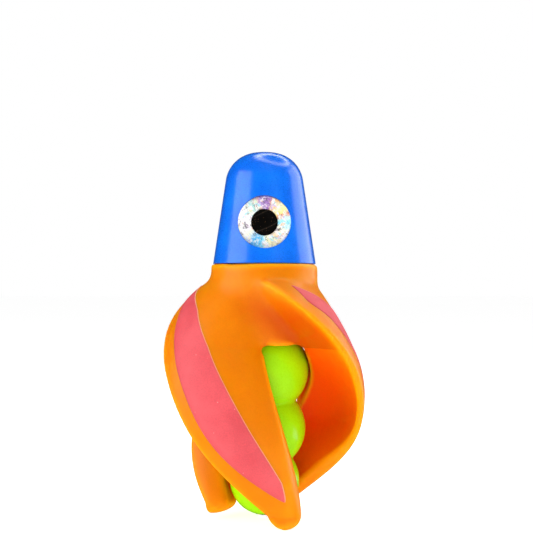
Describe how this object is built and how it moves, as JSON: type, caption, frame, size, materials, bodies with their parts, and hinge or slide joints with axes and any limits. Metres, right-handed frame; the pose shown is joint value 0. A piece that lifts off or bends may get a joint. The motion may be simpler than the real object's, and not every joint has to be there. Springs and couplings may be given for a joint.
{
  "type": "rotating lure body",
  "caption": "Rotating fishing lure body: bullet head with domed eyes, a helical arm cage that spins under it, and a core of fused balls through which the leader runs.",
  "frame": {"origin": "where the leader bore opens at the tail of the core", "axes": "+Z along the leader bore and the spin axis towards the nose; -Y towards the front eye; +X to its right as seen from the front"},
  "size_m": [0.038, 0.037, 0.071],
  "materials": {
    "head_blue": "high gloss moulded plastic",
    "eye_foil": "crinkled holographic foil, silver with shifting purple, gold and cyan patches",
    "eye_pupil": "black print on the foil",
    "eye_resin": "clear domed resin",
    "core_green": "glossy lime green",
    "spring_steel": "bare spring steel",
    "tube_nylon": "milky nylon",
    "ferrule_brass": "turned brass",
    "washer_ptfe": "white slip washer",
    "cage_orange": "glossy, slightly translucent orange elastomer",
    "stripe_pink": "matte, finely pored pink",
    "bush_acetal": "black acetal"
  },
  "bodies": {
    "head_and_core": {"head_shell": "head_blue", "eye_front_foil": "eye_foil", "eye_front_pupil": "eye_pupil", "eye_front_dome": "eye_resin", "eye_back_foil": "eye_foil", "eye_back_pupil": "eye_pupil", "eye_back_dome": "eye_resin", "head_plug": "head_blue", "bead_core": "core_green", "stem_circlip": "spring_steel", "leader_tube": "tube_nylon", "nose_grommet": "tube_nylon", "tail_ferrule": "ferrule_brass", "thrust_washer": "washer_ptfe"},
    "spinner": {"spinner_cage": "cage_orange", "arm_inlay_a": "stripe_pink", "arm_inlay_b": "stripe_pink", "arm_inlay_c": "stripe_pink", "hub_bush": "bush_acetal"}
  },
  "joints": [
    {"name": "cage_spin", "type": "hinge", "parent": "head_and_core", "child": "spinner", "pos_m": [0, 0, 0.03], "axis": [0, 0, 1], "continuous": true}
  ]
}
